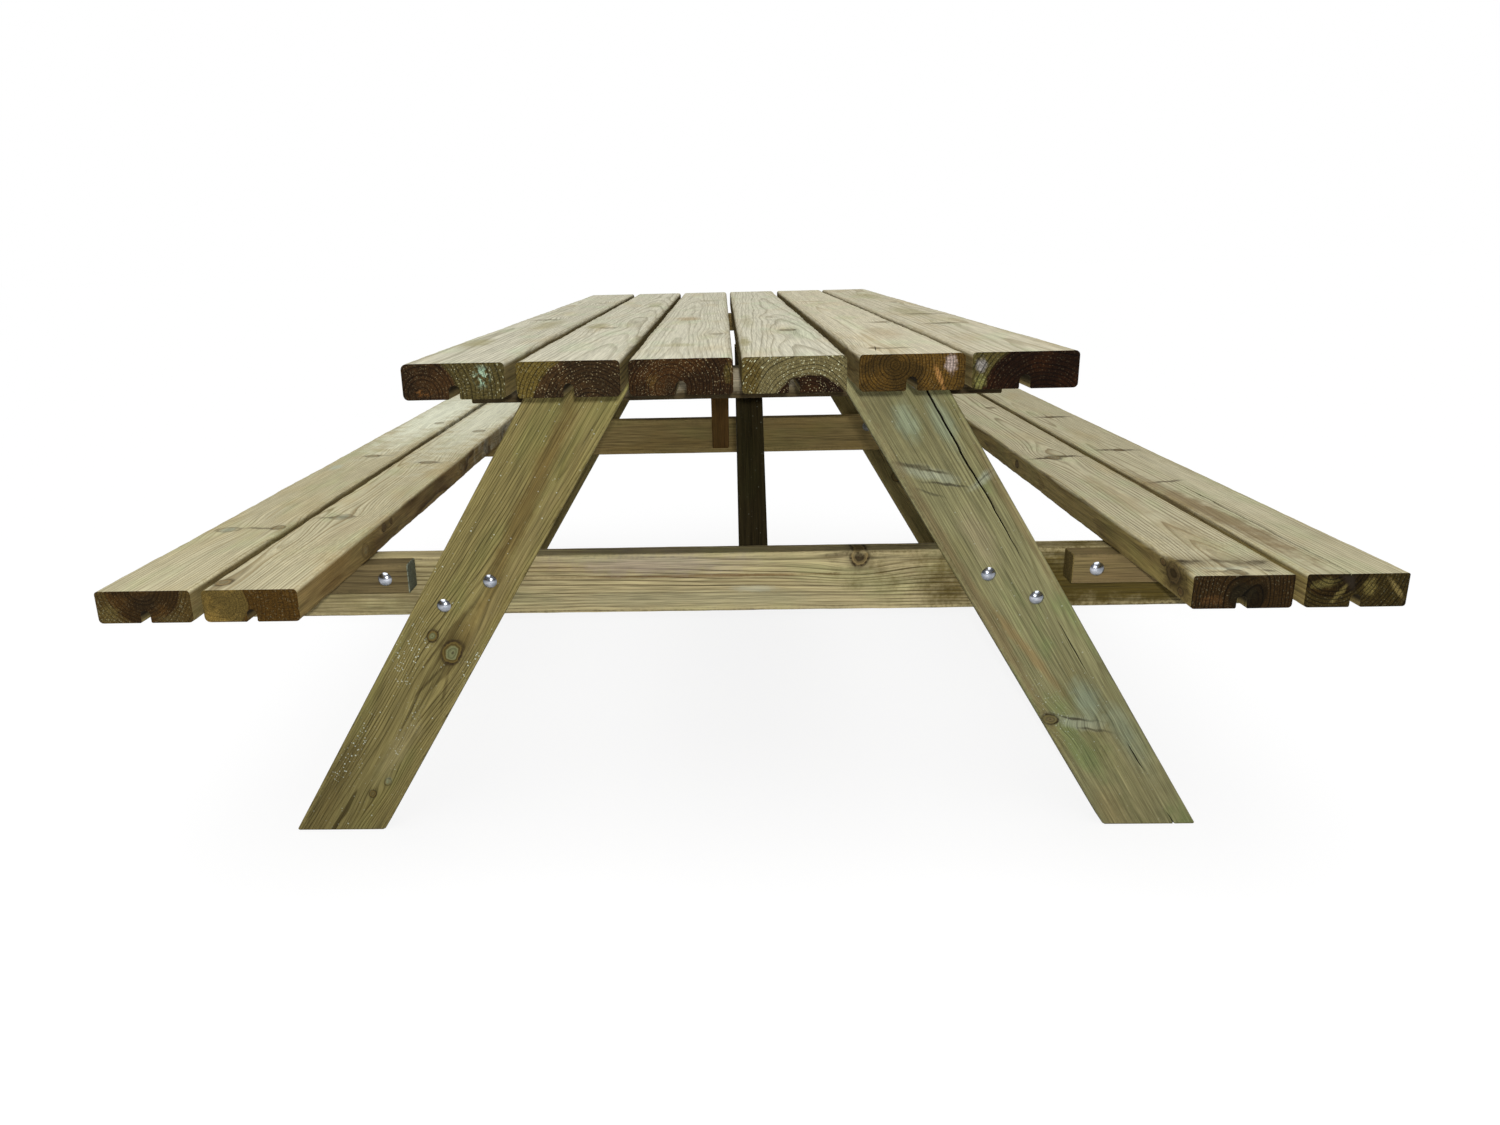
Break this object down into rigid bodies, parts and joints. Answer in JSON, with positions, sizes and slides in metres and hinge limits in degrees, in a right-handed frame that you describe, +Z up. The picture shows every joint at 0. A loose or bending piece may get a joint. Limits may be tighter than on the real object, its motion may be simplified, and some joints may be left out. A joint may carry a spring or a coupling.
{
  "type": "picnic table",
  "caption": "Timber A-frame picnic table with a slatted top and an attached bench along each side that folds up on pivot bolts.",
  "frame": {"origin": "on the ground under the middle of the table (bottom centre of the bounding box)", "axes": "+X across the table to the right, +Y along the boards to the far end, +Z up"},
  "size_m": [1.53, 1.8, 0.715],
  "materials": {
    "tabletop_timber": "pressure-treated softwood, planed, pale grey-beige with a green cast on top and dark speckled end grain",
    "seat_timber": "pressure-treated softwood, planed, pale olive-beige with knots and dark end grain",
    "leg_timber": "pressure-treated softwood, olive green-brown, with knots and drying checks",
    "rail_timber": "pressure-treated softwood, olive brown with dark grain lines",
    "brace_timber": "pressure-treated softwood, darker brown",
    "zinc_plated_steel": "bright zinc plating"
  },
  "bodies": {
    "table_frame": {"batten_bolt_nuts": "zinc_plated_steel", "batten_bolt_washers": "zinc_plated_steel", "batten_bolts": "zinc_plated_steel", "bearer_bolt_nuts": "zinc_plated_steel", "bearer_bolt_washers": "zinc_plated_steel", "bearer_bolts": "zinc_plated_steel", "brace_screws": "zinc_plated_steel", "far_brace": "brace_timber", "far_left_leg": "leg_timber", "far_right_leg": "leg_timber", "far_seat_bearer": "rail_timber", "far_top_batten": "rail_timber", "near_brace": "brace_timber", "near_left_leg": "leg_timber", "near_right_leg": "leg_timber", "near_seat_bearer": "rail_timber", "near_top_batten": "rail_timber", "tabletop_board_1": "tabletop_timber", "tabletop_board_2": "tabletop_timber", "tabletop_board_3": "tabletop_timber", "tabletop_board_4": "tabletop_timber", "tabletop_board_5": "tabletop_timber", "tabletop_board_6": "tabletop_timber", "tabletop_screws": "zinc_plated_steel"},
    "left_bench": {"far_left_pivot_block": "rail_timber", "left_bench_screws": "zinc_plated_steel", "left_inner_seat_board": "seat_timber", "left_outer_seat_board": "seat_timber", "left_pivot_bolts": "zinc_plated_steel", "left_pivot_nuts": "zinc_plated_steel", "left_pivot_washers": "zinc_plated_steel", "near_left_pivot_block": "rail_timber"},
    "right_bench": {"far_right_pivot_block": "rail_timber", "near_right_pivot_block": "rail_timber", "right_bench_screws": "zinc_plated_steel", "right_inner_seat_board": "seat_timber", "right_outer_seat_board": "seat_timber", "right_pivot_bolts": "zinc_plated_steel", "right_pivot_nuts": "zinc_plated_steel", "right_pivot_washers": "zinc_plated_steel"}
  },
  "joints": [
    {"name": "left_bench_fold", "type": "hinge", "parent": "table_frame", "child": "left_bench", "pos_m": [-0.4934, 0, 0.3965], "axis": [0, 1, 0], "range_deg": [0, 97]},
    {"name": "right_bench_fold", "type": "hinge", "parent": "table_frame", "child": "right_bench", "pos_m": [0.4934, 0, 0.3965], "axis": [0, -1, 0], "range_deg": [0, 97]}
  ]
}
